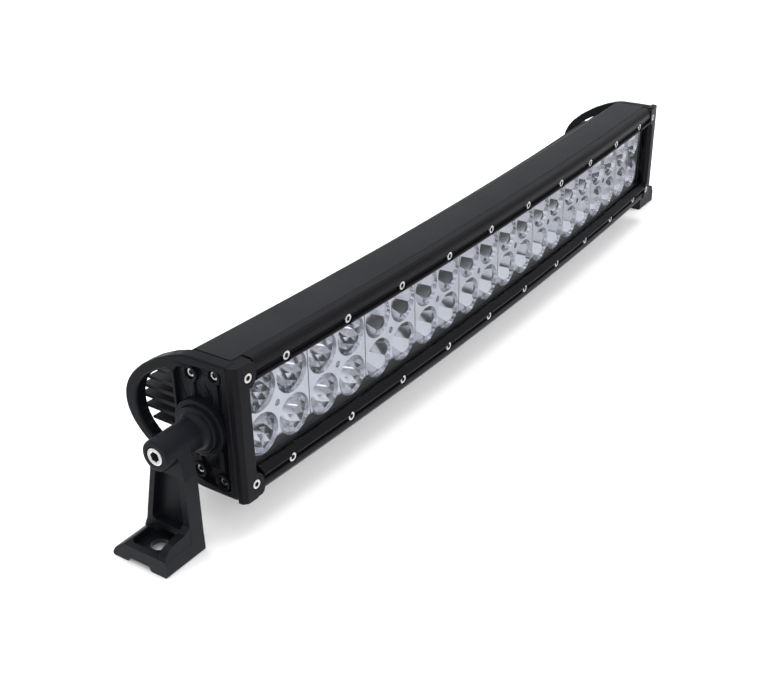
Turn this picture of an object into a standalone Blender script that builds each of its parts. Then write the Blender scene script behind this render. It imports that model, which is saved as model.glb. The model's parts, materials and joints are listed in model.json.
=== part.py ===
"""Curved dual-row LED light bar carried on two swivel feet.

Metres, +Z up, light thrown towards -Y, bar length along X. The origin lies on the
mounting plane, below the middle of the bar. Every piece is drawn about the swivel axis
(y = 0, z = 0) and then lifted to its place, so each object's origin lies on that axis.
Along the bar, places are given as distance along the arc, depth behind the bezel face
and height above the bar's middle.
"""
import math

import bmesh
import bpy
from mathutils import Matrix, Vector

MM = 0.001

# Bar
ARC_RADIUS = 4600 * MM
ARC_STEPS = 10
MODULE_COUNT = 10
MODULE_PITCH = 50 * MM
BODY_HALF_HEIGHT = 38.3 * MM
HOUSING_HALF_LENGTH = 255.2 * MM
CAP_INNER_ALONG = 256.2 * MM
CAP_THICKNESS = 6.8 * MM

# Swivel axis and feet
FRONT_TO_PIVOT = 31.2 * MM
PIVOT_HEIGHT = 60 * MM
PIVOT_Y = -10.22 * MM
FOOT_INNER = 280.4 * MM
FOOT_OUTER = 308.4 * MM

# Window, strips and screws
STRIP_HALF_LENGTH = 247.9 * MM
STRIP_SCREW_HEIGHT = 30.1 * MM
BEZEL_ALONG = 258 * MM
BEZEL_SCREW_ALONG = 254 * MM
BEZEL_SCREW_HEIGHT = 30.6 * MM
CAP_SCREWS = ((14.0 * MM, 30.6 * MM), (29.4 * MM, 28.1 * MM))
LENS_HALF_LENGTH = 254.6 * MM
LENS_HALF_HEIGHT = 27.3 * MM

# Reflector cups
CUP_OFFSET_ALONG = 12.35 * MM
CUP_OFFSET_HEIGHT = 12.6 * MM
REFLECTOR_FRONT = 8.2 * MM
REFLECTOR_BACK = 25.0 * MM

# Heat sink fins
FIN_PITCH = 6 * MM
FIN_ROOT_DEPTH = 38.5 * MM
FIN_ROOT_HALF = 1.3 * MM
FIN_TIP_HALF = 0.8 * MM
FIN_TIP_DEPTHS = (73.6 * MM, 71.6 * MM, 66.4 * MM, 58.8 * MM, 50 * MM)

# Power lead
LEAD_ALONG = 190 * MM
LEAD_RADIUS = 3.1 * MM
LEAD_RUN_DEPTH = 77.2 * MM

PIVOT = Vector((0, PIVOT_Y, PIVOT_HEIGHT))
HOLE_SEGMENTS = 6

MATERIALS = {
    "housing_black": ((0.022, 0.023, 0.025), 0.42, 0.0),
    "cap_black": ((0.016, 0.017, 0.019), 0.5, 0.0),
    "strip_black": ((0.018, 0.019, 0.021), 0.38, 0.2),
    "bracket_black": ((0.014, 0.015, 0.018), 0.5, 0.0),
    "lens_clear": ((0.92, 0.94, 0.96), 0.04, 0.0),
    "reflector_silver": ((0.82, 0.83, 0.87), 0.12, 1.0),
    "stainless": ((0.62, 0.61, 0.58), 0.28, 1.0),
    "rubber_black": ((0.02, 0.02, 0.02), 0.8, 0.0),
    "board_white": ((0.75, 0.75, 0.72), 0.5, 0.0),
    "board_green": ((0.03, 0.16, 0.07), 0.5, 0.0),
}


def clear_scene():
    for item in list(bpy.data.objects):
        bpy.data.objects.remove(item, do_unlink=True)


def make_collection(name):
    collection = bpy.data.collections.new(name)
    bpy.context.scene.collection.children.link(collection)
    return collection


def make_material(name):
    colour, roughness, metallic = MATERIALS[name]
    material = bpy.data.materials.new(name)
    material.use_nodes = True
    shader = material.node_tree.nodes["Principled BSDF"]
    shader.inputs["Base Color"].default_value = (*colour, 1.0)
    shader.inputs["Roughness"].default_value = roughness
    shader.inputs["Metallic"].default_value = metallic
    return material


clear_scene()
LIGHT_BAR = make_collection("led_light_bar")
CUTTERS = make_collection("cutters")


def mm(points):
    """The same points, given in millimetres, in metres."""
    return [tuple(value * MM for value in point) for point in points]


# --- Places along the arc -------------------------------------------------------------


def place(along, depth, height):
    angle = along / ARC_RADIUS
    reach = ARC_RADIUS - depth
    back = ARC_RADIUS - reach * math.cos(angle) - FRONT_TO_PIVOT
    return Vector((reach * math.sin(angle), back, height))


def arc_frame(along):
    """Local axes at a place on the arc: x along the bar, y into its depth, z up."""
    angle = along / ARC_RADIUS
    return Matrix.Translation(place(along, 0, 0)) @ Matrix.Rotation(angle, 4, "Z")


def end_frame(side, along):
    """Axes at one end of the bar with x pointing outwards, mirrored on the left."""
    return Matrix.Diagonal((side, 1, 1, 1)) @ arc_frame(along)


def cap_frame(side):
    """Axes on an end cap's inner face, square to the swivel axis, with x pointing outwards."""
    corner = place(CAP_INNER_ALONG, 0, 0)
    return Matrix.Diagonal((side, 1, 1, 1)) @ Matrix.Translation(corner)


def swivel_frame(side):
    """Axes on the swivel axis with x pointing outwards, mirrored on the left."""
    return Matrix.Diagonal((side, 1, 1, 1))


# --- Solids ---------------------------------------------------------------------------


def axis_point(axis, along_axis, first, second):
    """A point from its distance along an axis and its two other coordinates in order."""
    if axis == "x":
        return Vector((along_axis, first, second))
    if axis == "y":
        return Vector((first, along_axis, second))
    return Vector((first, second, along_axis))


def prism(shape, outline, low, high, axis):
    """Adds the outline, drawn across the axis, stretched from low to high along it."""
    corners = [shape.verts.new(axis_point(axis, low, *point)) for point in outline]
    face = shape.faces.new(corners)
    extruded = bmesh.ops.extrude_face_region(shape, geom=[face])
    moved = [item for item in extruded["geom"] if isinstance(item, bmesh.types.BMVert)]
    bmesh.ops.translate(shape, vec=axis_point(axis, high - low, 0, 0), verts=moved)


def box(shape, low, high):
    outline = [(low[1], low[2]), (high[1], low[2]), (high[1], high[2]), (low[1], high[2])]
    prism(shape, outline, low[0], high[0], "x")


def turned(shape, profile, axis, first, second, segments):
    """Adds a solid turned about a line along the axis; the profile is (distance, radius)."""
    centre = axis_point(axis, 0, first, second)
    direction = axis_point(axis, 1, 0, 0)
    corners = [
        shape.verts.new(axis_point(axis, distance, first, second + radius))
        for distance, radius in profile
    ]
    edges = [shape.edges.new(pair) for pair in zip(corners, corners[1:])]
    bmesh.ops.spin(
        shape,
        geom=corners + edges,
        cent=centre,
        axis=direction,
        angle=math.tau,
        steps=segments,
        use_merge=True,
    )
    bmesh.ops.remove_doubles(shape, verts=shape.verts[:], dist=1e-6)


def rod(shape, radius, low, high, axis, first, second, segments):
    profile = [(low, 0), (low, radius), (high, radius), (high, 0)]
    turned(shape, profile, axis, first, second, segments)


def swept(shape, profile, start, end, steps=ARC_STEPS):
    """Adds a (depth, height) section swept along the bar's arc."""
    corners = [shape.verts.new(place(start, *point)) for point in profile]
    face = shape.faces.new(corners)
    bmesh.ops.spin(
        shape,
        geom=[face],
        cent=(0, ARC_RADIUS - FRONT_TO_PIVOT, 0),
        axis=(0, 0, 1),
        angle=(end - start) / ARC_RADIUS,
        steps=steps,
    )


def to_mesh(name, shape, frame=None):
    if frame is not None:
        shape.transform(frame)
    bmesh.ops.recalc_face_normals(shape, faces=shape.faces[:])
    mesh = bpy.data.meshes.new(name)
    shape.to_mesh(mesh)
    shape.free()
    return mesh


def smooth(mesh, degrees=32):
    mesh.shade_smooth()
    mesh.set_sharp_from_angle(angle=math.radians(degrees))


def add_piece(name, mesh, material, matrix=None):
    smooth(mesh)
    if not mesh.materials:
        mesh.materials.append(material)
    piece = bpy.data.objects.new(name, mesh)
    piece.matrix_world = Matrix.Translation(PIVOT) @ (matrix or Matrix.Identity(4))
    LIGHT_BAR.objects.link(piece)
    return piece


def add_tool(name, mesh):
    tool = bpy.data.objects.new(name, mesh)
    tool.location = PIVOT
    tool.hide_render = True
    tool.display_type = "WIRE"
    CUTTERS.objects.link(tool)
    return tool


def combine(piece, operation, label, shape, frame=None):
    """Joins a shape to a piece, or cuts it away, by a Boolean."""
    tool = add_tool(f"{piece.name}_{label}", to_mesh(f"{piece.name}_{label}", shape, frame))
    modifier = piece.modifiers.new(label, "BOOLEAN")
    modifier.operation = operation
    modifier.solver = "EXACT"
    modifier.object = tool


def cut(piece, label, shape, frame=None):
    combine(piece, "DIFFERENCE", label, shape, frame)


def join(piece, label, shape, frame=None):
    combine(piece, "UNION", label, shape, frame)


# --- Outlines -------------------------------------------------------------------------


def mirrored_outline(upper):
    """Closes an outline drawn from front to back above the middle with its mirror image."""
    lower = [(depth, -height) for depth, height in reversed(upper) if height > 1e-7]
    return upper + lower


# --- Housing --------------------------------------------------------------------------


def fin_points(row):
    height = row * FIN_PITCH
    tip = FIN_TIP_DEPTHS[abs(row)]
    return [
        (FIN_ROOT_DEPTH, height + FIN_ROOT_HALF),
        (tip, height + FIN_TIP_HALF),
        (tip, height - FIN_TIP_HALF),
        (FIN_ROOT_DEPTH, height - FIN_ROOT_HALF),
    ]


def housing_section():
    """Half the tub and roof from front to back, then the fins, then the lower half."""
    top = mm([
        (33.2, 11.5), (27.4, 11.5), (27.4, 25.8), (7.9, 25.8), (7.9, 37.5), (8.7, 38.3),
        (29.5, 38.3), (31.5, 37.9), (33.2, 36.9), (35.8, 34.9), (41, 30.8), (41, 28.4), (38.5, 27.9),
    ])
    fins = []
    outermost = len(FIN_TIP_DEPTHS) - 1
    for row in range(outermost, -outermost - 1, -1):
        fins += fin_points(row)
    bottom = [(depth, -height) for depth, height in reversed(top)]
    return top + fins + bottom


def strip_screw_places():
    middle = (MODULE_COUNT - 1) / 2
    return [(index - middle) * MODULE_PITCH for index in range(MODULE_COUNT)]


def cap_screw_places():
    """Depth and height of each screw in an end cap, two above the swivel and two below."""
    return [(depth, height * side) for side in (1, -1) for depth, height in CAP_SCREWS]


def housing_screw_holes():
    holes = bmesh.new()
    radius = 1.8 * MM
    for along in strip_screw_places():
        for height in (STRIP_SCREW_HEIGHT, -STRIP_SCREW_HEIGHT):
            hole = bmesh.new()
            rod(hole, radius, 5 * MM, 14 * MM, "y", 0, height, HOLE_SEGMENTS)
            add_shape(holes, hole, arc_frame(along))
    return holes


def housing_end_holes():
    holes = bmesh.new()
    for side in (-1, 1):
        for depth, height in cap_screw_places():
            hole = bmesh.new()
            rod(hole, 1.8 * MM, -10.5 * MM, 2 * MM, "x", depth, height, HOLE_SEGMENTS)
            add_shape(holes, hole, cap_frame(side))
    return holes


def add_shape(target, source, frame):
    """Adds one shape to another, moved to a frame."""
    source.transform(frame)
    bmesh.ops.recalc_face_normals(source, faces=source.faces[:])
    mesh = bpy.data.meshes.new("scratch")
    source.to_mesh(mesh)
    source.free()
    target.from_mesh(mesh)
    bpy.data.meshes.remove(mesh)


def end_waste():
    """What is sawn off each end of the extrusion, to leave it square to the swivel axis."""
    waste = bmesh.new()
    near = place(HOUSING_HALF_LENGTH, 0, 0).x
    for side in (-1, 1):
        low, high = sorted((side * near, side * (near + 30 * MM)))
        box(waste, (low, -60 * MM, -50 * MM), (high, 90 * MM, 50 * MM))
    return waste


def lead_pocket():
    shape = bmesh.new()
    low, high = mm([(-17, 38.2, -9.2), (15, 92, 9.2)])
    box(shape, low, high)
    return shape


def make_housing():
    shape = bmesh.new()
    sawn_off = 8 * MM
    swept(shape, housing_section(), -HOUSING_HALF_LENGTH - sawn_off, HOUSING_HALF_LENGTH + sawn_off)
    housing = add_piece("housing", to_mesh("housing", shape), make_material("housing_black"))
    cut(housing, "square_ends", end_waste())
    cut(housing, "lead_pocket", lead_pocket(), arc_frame(LEAD_ALONG))
    hole = bmesh.new()
    rod(hole, 4.2 * MM, 30 * MM, 42 * MM, "y", 0, 0, 16)
    cut(housing, "lead_hole", hole, arc_frame(LEAD_ALONG))
    cut(housing, "screw_holes", housing_screw_holes())
    cut(housing, "end_holes", housing_end_holes())


# --- End caps and their gaskets --------------------------------------------------------


def cap_outline():
    return mirrored_outline(mm([
        (4, 37.1), (5.2, 38.3), (28, 38.3), (33.5, 37.5), (42, 34.7), (52, 30.2), (62, 24.0),
        (69, 18.0), (73.7, 12), (76.4, 6), (77.2, 0),
    ]))


def cap_window():
    return mirrored_outline(mm([
        (41.8, 24.6), (42.8, 26.2), (44.8, 26.2), (52, 23.1), (60, 18.1), (65, 13.1),
        (68, 7), (69, 0),
    ]))


def cap_pocket():
    upper = mm([(8, 33), (9.6, 34.6), (25, 33.6), (36.6, 30.4), (39.6, 27)])
    return mirrored_outline(upper)


def bevel_outer_rim(shape, outer):
    """Rounds the edge that runs round the outer face of a cap."""
    rim = [
        edge
        for edge in shape.edges
        if all(abs(vert.co.x - outer) < 1e-7 for vert in edge.verts)
        and any(abs(face.normal.x) < 0.5 for face in edge.link_faces)
    ]
    bmesh.ops.bevel(shape, geom=rim, offset=1.8 * MM, segments=2, profile=0.5, affect="EDGES")


def cap_bosses():
    bosses = bmesh.new()
    for depth, height in cap_screw_places():
        rod(bosses, 4.6 * MM, 1 * MM, CAP_THICKNESS - 0.4 * MM, "x", depth, height, 10)
    return bosses


def cap_ribs(direction):
    ribs = bmesh.new()
    low, high = sorted((12 * MM * direction, 25.5 * MM * direction))
    for depth, _ in CAP_SCREWS:
        box(
            ribs,
            (2 * MM, depth - 1.6 * MM, low),
            (CAP_THICKNESS - 1.4 * MM, depth + 1.6 * MM, high),
        )
    return ribs


def cap_holes():
    holes = bmesh.new()
    profile = mm([(-2, 0), (-2, 1.8), (2.9, 1.8), (2.9, 3.1), (9, 3.1), (9, 0)])
    for depth, height in cap_screw_places():
        turned(holes, profile, "x", depth, height, 10)
    return holes


def swivel_boss():
    shape = bmesh.new()
    profile = mm([(257, 0), (257, 15.9), (264.8, 15.9), (265.6, 15.1), (265.6, 0)])
    turned(shape, profile, "x", 0, 0, 24)
    return shape


def swivel_socket():
    shape = bmesh.new()
    profile = mm([(257.4, 0), (257.4, 3.5), (263.1, 3.5), (263.1, 13.2), (268, 13.2), (268, 0)])
    turned(shape, profile, "x", 0, 0, 20)
    return shape


def make_end_cap(side, label, material):
    frame = cap_frame(side)
    name = f"end_cap_{label}"
    shape = bmesh.new()
    prism(shape, cap_outline(), 0, CAP_THICKNESS, "x")
    bmesh.ops.recalc_face_normals(shape, faces=shape.faces[:])
    bevel_outer_rim(shape, CAP_THICKNESS)
    cap = add_piece(name, to_mesh(name, shape, frame), material)

    pocket = bmesh.new()
    prism(pocket, cap_pocket(), CAP_THICKNESS - 2.6 * MM, CAP_THICKNESS + 4 * MM, "x")
    cut(cap, "pocket", pocket, frame)
    join(cap, "screw_bosses", cap_bosses(), frame)
    join(cap, "upper_ribs", cap_ribs(1), frame)
    join(cap, "lower_ribs", cap_ribs(-1), frame)
    join(cap, "swivel_boss", swivel_boss(), swivel_frame(side))
    window = bmesh.new()
    prism(window, cap_window(), -4 * MM, CAP_THICKNESS + 4 * MM, "x")
    cut(cap, "window", window, frame)
    cut(cap, "screw_holes", cap_holes(), frame)
    cut(cap, "swivel_socket", swivel_socket(), swivel_frame(side))


def make_end_cap_gasket(side, label, material):
    """A flat rubber seal that follows the end of the housing's walls and floor."""
    name = f"end_cap_gasket_{label}"
    outline = mirrored_outline(mm([
        (27.6, 0), (27.6, 26), (9, 26), (9, 37.6), (28, 37.6), (32.6, 35), (37, 32),
    ]))
    frame = cap_frame(side)
    shape = bmesh.new()
    prism(shape, outline, -0.75 * MM, -0.25 * MM, "x")
    gasket = add_piece(name, to_mesh(name, shape, frame), material)
    holes = bmesh.new()
    for depth, height in cap_screw_places():
        rod(holes, 1.8 * MM, -2 * MM, 2 * MM, "x", depth, height, HOLE_SEGMENTS)
    cut(gasket, "screw_holes", holes, frame)


# --- Front of the bar -------------------------------------------------------------------


def strip_section(direction):
    """The extruded strip: a chamfered inner ridge, a screw groove and a rounded outer edge."""
    section = mm([
        (3.4, 24.7), (2.4, 24.4), (-0.3, 26.3), (-1.2, 27.1), (-1.5, 27.8), (-1.45, 28.2),
        (-1.1, 28.7), (1.2, 28.8), (1.2, 31.5), (-0.3, 31.6), (-0.7, 32.1), (-0.7, 34.8),
        (-0.2, 36.3), (1.0, 37.6), (2.6, 38.3), (7.6, 38.3), (7.6, 27.7), (3.4, 27.7),
    ])
    return [(depth, height * direction) for depth, height in section]


def make_strip(name, direction, material):
    shape = bmesh.new()
    swept(shape, strip_section(direction), -STRIP_HALF_LENGTH, STRIP_HALF_LENGTH)
    strip = add_piece(name, to_mesh(name, shape), material)
    holes = bmesh.new()
    profile = mm([(-4, 0), (-4, 3.1), (1.6, 3.1), (1.6, 1.8), (9, 1.8), (9, 0)])
    for along in strip_screw_places():
        hole = bmesh.new()
        turned(hole, profile, "y", 0, STRIP_SCREW_HEIGHT * direction, 9)
        add_shape(holes, hole, arc_frame(along))
    cut(strip, "screw_holes", holes)


def bezel_lobe(direction, inner):
    """Front view of one lobe of the side bezel, with its seam rounded about the screw."""
    outline = [
        (0.0, inner), (-6.3, inner), (-8.4, 27.1), (-9.4, 29.6), (-9.7, 32.5), (-9.5, 35.6),
        (-8.9, 37.2), (-7.4, 38.2), (0.0, 38.4),
    ]
    return [(along * MM, height * direction * MM) for along, height in outline]


def make_side_bezel(side, label, material):
    name = f"side_bezel_{label}"
    frame = end_frame(side, BEZEL_ALONG)
    section = mm([
        (-6.5, 3.4), (-6.5, 1.4), (-4.6, -1.2), (-4.0, -1.5), (2.6, -1.5), (5.0, 0.3), (5.5, 3.4),
    ])
    shape = bmesh.new()
    prism(shape, section, -38.8 * MM, 38.8 * MM, "z")
    bezel = add_piece(name, to_mesh(name, shape, frame), material)
    lobes = bmesh.new()
    prism(lobes, bezel_lobe(1, 24.6), -1.45 * MM, 3.3 * MM, "y")
    prism(lobes, bezel_lobe(-1, 24.6), -1.45 * MM, 3.3 * MM, "y")
    join(bezel, "lobes", lobes, frame)
    pads = bmesh.new()
    for direction in (1, -1):
        outline = [(-2.1, 27.8), (-9.2, 27.8), (-9.2, 37.7), (-2.1, 37.7)]
        pad = [(along * MM, height * direction * MM) for along, height in outline]
        prism(pads, pad, 1 * MM, 7.6 * MM, "y")
    join(bezel, "pads", pads, frame)
    holes = bmesh.new()
    profile = mm([(-4, 0), (-4, 3.0), (0.6, 3.0), (0.6, 1.6), (9, 1.6), (9, 0)])
    offset = BEZEL_SCREW_ALONG - BEZEL_ALONG
    for direction in (1, -1):
        turned(holes, profile, "y", offset, BEZEL_SCREW_HEIGHT * direction, 12)
    cut(bezel, "screw_holes", holes, frame)


def rectangle(depth_low, depth_high, half_height):
    """A section centred on the bar's middle, its depths given in millimetres."""
    low, high = depth_low * MM, depth_high * MM
    return [(low, -half_height), (low, half_height), (high, half_height), (high, -half_height)]


def make_lens(material):
    shape = bmesh.new()
    swept(shape, rectangle(3.7, 6.7, LENS_HALF_HEIGHT), -LENS_HALF_LENGTH, LENS_HALF_LENGTH)
    add_piece("lens", to_mesh("lens", shape), material)


def make_lens_gasket(material):
    shape = bmesh.new()
    end = LENS_HALF_LENGTH - 0.5 * MM
    swept(shape, rectangle(7.0, 7.6, LENS_HALF_HEIGHT), -end, end)
    gasket = add_piece("lens_gasket", to_mesh("lens_gasket", shape), material)
    opening = bmesh.new()
    inner = end - 2.2 * MM
    swept(opening, rectangle(6.0, 9.0, 25.6 * MM), -inner, inner)
    cut(gasket, "opening", opening)


# --- Reflectors, LED board and driver ----------------------------------------------------


def reflector_outline():
    """Front view of a module: straight sides, and an edge scalloped round each cup."""
    half_length = 24.65 * MM
    notch = 19.5 * MM
    crest = 12.5 * MM
    upper = []
    steps = 12
    for step in range(steps + 1):
        along = -half_length + 2 * half_length * step / steps
        offset = abs(along) - CUP_OFFSET_ALONG
        rise = math.sqrt(max(crest**2 - offset**2, 0))
        upper.append((along, max(notch, CUP_OFFSET_HEIGHT + rise)))
    lower = [(along, -height) for along, height in reversed(upper)]
    return upper + lower


def cup_places():
    return [
        (along, height)
        for along in (-CUP_OFFSET_ALONG, CUP_OFFSET_ALONG)
        for height in (-CUP_OFFSET_HEIGHT, CUP_OFFSET_HEIGHT)
    ]


def reflector_mesh():
    """One module with its four cups, baked once and shared by every module."""
    shape = bmesh.new()
    prism(shape, reflector_outline(), REFLECTOR_FRONT, REFLECTOR_BACK, "y")
    block = bpy.data.objects.new("reflector_block", to_mesh("reflector_block", shape))
    LIGHT_BAR.objects.link(block)
    cups = bmesh.new()
    profile = mm([(7, 0), (7, 12.1), (8.2, 11.8), (17, 8.6), (24, 3.2), (26, 3.2), (26, 0)])
    for along, height in cup_places():
        turned(cups, profile, "y", along, height, 8)
    rod(cups, 1.9 * MM, 7 * MM, 12 * MM, "y", 0, 0, 6)
    tool = bpy.data.objects.new("reflector_cups", to_mesh("reflector_cups", cups))
    LIGHT_BAR.objects.link(tool)
    modifier = block.modifiers.new("cups", "BOOLEAN")
    modifier.operation = "DIFFERENCE"
    modifier.solver = "EXACT"
    modifier.object = tool
    bpy.context.view_layer.update()
    depsgraph = bpy.context.evaluated_depsgraph_get()
    mesh = bpy.data.meshes.new_from_object(block.evaluated_get(depsgraph))
    mesh.name = "reflector"
    for leftover in (block, tool):
        bpy.data.objects.remove(leftover, do_unlink=True)
    return mesh


def make_reflectors(material):
    mesh = reflector_mesh()
    for index, along in enumerate(strip_screw_places()):
        add_piece(f"reflector_{index + 1:02d}", mesh, material, arc_frame(along))


def make_led_board(material):
    shape = bmesh.new()
    swept(shape, rectangle(25.4, 27.0, 25 * MM), -249 * MM, 249 * MM)
    board = add_piece("led_board", to_mesh("led_board", shape), material)
    emitters = bmesh.new()
    profile = mm([(26, 0), (26, 2.3), (23.2, 1.6), (23.2, 0)])
    for along in strip_screw_places():
        for offset, height in cup_places():
            emitter = bmesh.new()
            turned(emitter, profile, "y", offset, height, 6)
            add_shape(emitters, emitter, arc_frame(along))
    join(board, "emitters", emitters)


def make_driver_board(material):
    """The current regulator, with its coils and chips, in the channel behind the LED board."""
    frame = arc_frame(183 * MM)
    shape = bmesh.new()
    low, high = mm([(-45, 31.0, -9.8), (45, 32.4, 9.8)])
    box(shape, low, high)
    board = add_piece("driver_board", to_mesh("driver_board", shape, frame), material)
    parts = bmesh.new()
    for corners in (((-38, 28.2, -6), (-26, 31.5, 6)), ((-16, 28.6, -4), (-8, 31.5, 4))):
        low, high = mm(corners)
        box(parts, low, high)
    rod(parts, 4.4 * MM, 28.3 * MM, 31.5 * MM, "y", 28 * MM, 0, 12)
    join(board, "components", parts, frame)


# --- Fasteners ---------------------------------------------------------------------------


def hexagon_ring(shape, corner_radius, distance, count):
    """A ring of points round a hexagon, one at each corner and others along its sides."""
    points = []
    for index in range(count):
        angle = math.tau * index / count
        fold = (angle + math.pi / 6) % (math.pi / 3) - math.pi / 6
        turn = abs(abs(fold) - math.pi / 6)
        radius = corner_radius * math.cos(math.pi / 6) / math.cos(turn)
        points.append(
            shape.verts.new((radius * math.sin(angle), distance, radius * math.cos(angle)))
        )
    return points


def circle_ring(shape, radius, distance, count):
    points = []
    for index in range(count):
        angle = math.tau * index / count
        points.append(
            shape.verts.new((radius * math.sin(angle), distance, radius * math.cos(angle)))
        )
    return points


def socket_screw_mesh(name, head_radius, head_height, shank_radius, length, socket_corner):
    """A socket screw whose head faces -y, with its shank running to +y."""
    count = 12
    depth = head_height * 0.6
    shape = bmesh.new()
    rings = [
        hexagon_ring(shape, socket_corner, depth, count),
        hexagon_ring(shape, socket_corner, 0, count),
        circle_ring(shape, head_radius, 0, count),
        circle_ring(shape, head_radius, head_height, count),
        hexagon_ring(shape, shank_radius, head_height, count),
        hexagon_ring(shape, shank_radius, head_height + length, count),
    ]
    for first, second in zip(rings, rings[1:]):
        for index in range(count):
            after = (index + 1) % count
            shape.faces.new((first[index], first[after], second[after], second[index]))
    shape.faces.new(rings[0])
    shape.faces.new(rings[-1])
    return to_mesh(name, shape)


def make_strip_screws(mesh, material):
    for label, direction in (("top", 1), ("bottom", -1)):
        for index, along in enumerate(strip_screw_places()):
            offset = Matrix.Translation((0, -0.4 * MM, STRIP_SCREW_HEIGHT * direction))
            name = f"{label}_strip_screw_{index + 1:02d}"
            add_piece(name, mesh, material, arc_frame(along) @ offset)


def make_bezel_screws(mesh, material):
    for side, end in ((-1, "left"), (1, "right")):
        for label, direction in (("top", 1), ("bottom", -1)):
            offset = Matrix.Translation((0, -1.4 * MM, BEZEL_SCREW_HEIGHT * direction))
            frame = arc_frame(side * BEZEL_SCREW_ALONG) @ offset
            add_piece(f"bezel_screw_{end}_{label}", mesh, material, frame)


def make_cap_screws(mesh, material):
    for side, end in ((-1, "left"), (1, "right")):
        facing = Matrix.Rotation(math.radians(90) * side, 4, "Z")
        number = 1
        for depth, height in cap_screw_places():
            offset = Matrix.Translation((side * 5.0 * MM, depth, height))
            corner = Matrix.Translation(place(side * CAP_INNER_ALONG, 0, 0))
            frame = corner @ offset @ facing
            add_piece(f"cap_screw_{end}_{number}", mesh, material, frame)
            number += 1


def make_pivot_bolts(material):
    mesh = socket_screw_mesh("pivot_bolt", 4.9 * MM, 4.9 * MM, 3.0 * MM, 33.2 * MM, 2.9 * MM)
    for side, end in ((-1, "left"), (1, "right")):
        facing = Matrix.Rotation(math.radians(90) * side, 4, "Z")
        offset = Matrix.Translation((side * 296.2 * MM, 0, 0))
        add_piece(f"pivot_bolt_{end}", mesh, material, offset @ facing)


# --- Swivel brackets ---------------------------------------------------------------------


def barrel(shape):
    profile = mm([
        (263.4, 0), (263.4, 12.8), (267.2, 12.8), (267.9, 12.1), (267.9, 10.4), (269.4, 9.0),
        (271.4, 8.5), (294.4, 8.5), (295.5, 8.1), (296, 7.2), (296, 0),
    ])
    turned(shape, profile, "x", 0, 0, 20)


def upright_outline():
    """Side view of the upright: its front stands square, its back leans out to the foot."""
    return mm([
        (-8.2, 1), (8.2, 1), (10.2, -8), (11.3, -14), (18.2, -46), (20.4, -51), (20.4, -56),
        (-11.4, -56), (-11.4, -14), (-10.4, -8),
    ])


def upright_recess():
    return mm([
        (-6.8, -13), (7.2, -13), (8.4, -16), (14.2, -43), (13.2, -45), (-6.2, -45), (-7.2, -43),
        (-7.6, -15),
    ])


def foot_outline():
    """Side view of the foot block: a rounded rear shoulder and two pads about an arch."""
    return mm([
        (-11.4, -60), (-0.8, -60), (0.4, -57.4), (13.6, -57.4), (14.8, -60), (24.4, -60),
        (25.4, -59.2), (25.0, -57.5), (23.2, -54.7), (20.3, -52.0), (17.0, -50.2), (-11.4, -50),
    ])


def cheek_outline():
    """Front view of the raised cheek along the foot's front edge."""
    return mm([
        (281, -58), (308.1, -58), (308.2, -50.5), (307.2, -47.6), (305.0, -45.4),
        (301.8, -44.2), (293.4, -43.4), (288.8, -40.5), (281, -38),
    ])


def make_bracket(side, label, material):
    name = f"bracket_{label}"
    frame = swivel_frame(side)
    shape = bmesh.new()
    prism(shape, upright_outline(), 280.6 * MM, 289.6 * MM, "x")
    bracket = add_piece(name, to_mesh(name, shape, frame), material)

    recess = bmesh.new()
    prism(recess, upright_recess(), 285 * MM, 296 * MM, "x")
    cut(bracket, "upright_recess", recess, frame)
    body = bmesh.new()
    barrel(body)
    join(bracket, "barrel", body, frame)
    foot = bmesh.new()
    prism(foot, foot_outline(), FOOT_INNER, FOOT_OUTER, "x")
    join(bracket, "foot", foot, frame)
    cheek = bmesh.new()
    prism(cheek, cheek_outline(), -11.3 * MM, -6.8 * MM, "y")
    join(bracket, "cheek", cheek, frame)
    pocket = bmesh.new()
    outline = mm([
        (289.8, -4.8), (302.3, -4.8), (304.8, -2.4), (304.8, 13.6), (302.3, 16), (289.8, 16),
    ])
    prism(pocket, outline, -54.2 * MM, -46 * MM, "z")
    cut(bracket, "foot_pocket", pocket, frame)
    seat = bmesh.new()
    profile = mm([(-64, 0), (-64, 4.6), (-54.9, 4.6), (-54.9, 9.2), (-49, 9.2), (-49, 0)])
    turned(seat, profile, "z", 294.6 * MM, 6 * MM, 16)
    cut(bracket, "bolt_seat", seat, frame)
    bore = bmesh.new()
    profile = mm([(260, 0), (260, 3.4), (291, 3.4), (291, 5.4), (299, 5.4), (299, 0)])
    turned(bore, profile, "x", 0, 0, 12)
    cut(bracket, "bore", bore, frame)
    return bracket


# --- Power lead ----------------------------------------------------------------------------


def lead_path():
    """Centre line of the lead: out through the housing's back, then along its fins."""
    bend = 9 * MM
    points = [place(LEAD_ALONG, 36 * MM, 0), place(LEAD_ALONG, 60 * MM, 0)]
    for step in range(5):
        turn = math.radians(90) * step / 4
        along = LEAD_ALONG - bend + bend * math.cos(turn)
        depth = LEAD_RUN_DEPTH - bend + bend * math.sin(turn)
        points.append(place(along, depth, 0))
    for along in (160, 132, 104):
        points.append(place(along * MM, LEAD_RUN_DEPTH, 0))
    return points


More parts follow.
